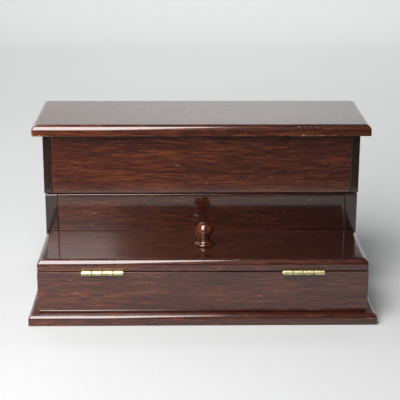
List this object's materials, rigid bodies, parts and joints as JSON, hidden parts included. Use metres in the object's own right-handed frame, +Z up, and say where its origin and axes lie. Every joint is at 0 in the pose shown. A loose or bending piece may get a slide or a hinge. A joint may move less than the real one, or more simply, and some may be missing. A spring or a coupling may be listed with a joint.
{
  "type": "sewing box with trays",
  "caption": "Stepped hardwood sewing box with a deep hinged lid over lift-out trays and a low front compartment under a flap.",
  "frame": {"origin": "under the middle of the whole box in plan, on the surface it stands on", "axes": "+X to the right along the front, +Y to the back, +Z up, so the flap and the front panel face -Y"},
  "size_m": [0.32, 0.2008, 0.166],
  "materials": {
    "polished_mahogany": "french polished, glossy",
    "inside_wood": "oiled, satin",
    "brass": "lightly tarnished",
    "pad_velvet": "short pile velvet"
  },
  "bodies": {
    "case": {"plinth_board": "polished_mahogany", "bottom_board": "polished_mahogany", "front_panel": "polished_mahogany", "side_board_left": "polished_mahogany", "side_board_right": "polished_mahogany", "body_front_board": "polished_mahogany", "back_board": "polished_mahogany", "tray_ledge_front": "inside_wood", "tray_ledge_back": "inside_wood", "well_partition": "inside_wood", "compartment_divider_left": "inside_wood", "compartment_divider_right": "inside_wood", "front_hinge_left_lower_leaf": "brass", "front_hinge_left_pin": "brass", "front_hinge_left_lower_screw_1": "brass", "front_hinge_left_lower_screw_2": "brass", "front_hinge_right_lower_leaf": "brass", "front_hinge_right_pin": "brass", "front_hinge_right_lower_screw_1": "brass", "front_hinge_right_lower_screw_2": "brass", "rear_hinge_left_lower_leaf": "brass", "rear_hinge_left_pin": "brass", "rear_hinge_left_lower_screw_1": "brass", "rear_hinge_left_lower_screw_2": "brass", "rear_hinge_right_lower_leaf": "brass", "rear_hinge_right_pin": "brass", "rear_hinge_right_lower_screw_1": "brass", "rear_hinge_right_lower_screw_2": "brass"},
    "flap": {"front_flap": "polished_mahogany", "knob": "polished_mahogany", "front_hinge_left_upper_leaf": "brass", "front_hinge_left_upper_screw_1": "brass", "front_hinge_left_upper_screw_2": "brass", "front_hinge_right_upper_leaf": "brass", "front_hinge_right_upper_screw_1": "brass", "front_hinge_right_upper_screw_2": "brass"},
    "lid": {"lid_board": "polished_mahogany", "lid_side_left": "polished_mahogany", "lid_side_right": "polished_mahogany", "lid_front_board": "polished_mahogany", "lid_back_board": "polished_mahogany", "lid_pad": "pad_velvet", "rear_hinge_left_upper_leaf": "brass", "rear_hinge_left_upper_screw_1": "brass", "rear_hinge_left_upper_screw_2": "brass", "rear_hinge_right_upper_leaf": "brass", "rear_hinge_right_upper_screw_1": "brass", "rear_hinge_right_upper_screw_2": "brass"},
    "tray_left": {"tray_left_bottom": "inside_wood", "tray_left_front": "inside_wood", "tray_left_back": "inside_wood", "tray_left_outer_end": "inside_wood", "tray_left_inner_end": "inside_wood", "tray_left_divider": "inside_wood"},
    "tray_right": {"tray_right_bottom": "inside_wood", "tray_right_front": "inside_wood", "tray_right_back": "inside_wood", "tray_right_outer_end": "inside_wood", "tray_right_inner_end": "inside_wood", "tray_right_divider": "inside_wood"}
  },
  "joints": [
    {"name": "flap_hinge", "type": "hinge", "parent": "case", "child": "flap", "pos_m": [0, -0.0946, 0.0488], "axis": [1, 0, 0], "range_deg": [0, 200]},
    {"name": "lid_hinge", "type": "hinge", "parent": "case", "child": "lid", "pos_m": [0, 0.094, 0.09675], "axis": [-1, 0, 0], "range_deg": [0, 95]},
    {"name": "tray_left_lift", "type": "slide", "parent": "case", "child": "tray_left", "axis": [0, 0, 1], "range_m": [0, 0.038]},
    {"name": "tray_right_lift", "type": "slide", "parent": "case", "child": "tray_right", "axis": [0, 0, 1], "range_m": [0, 0.038]}
  ]
}
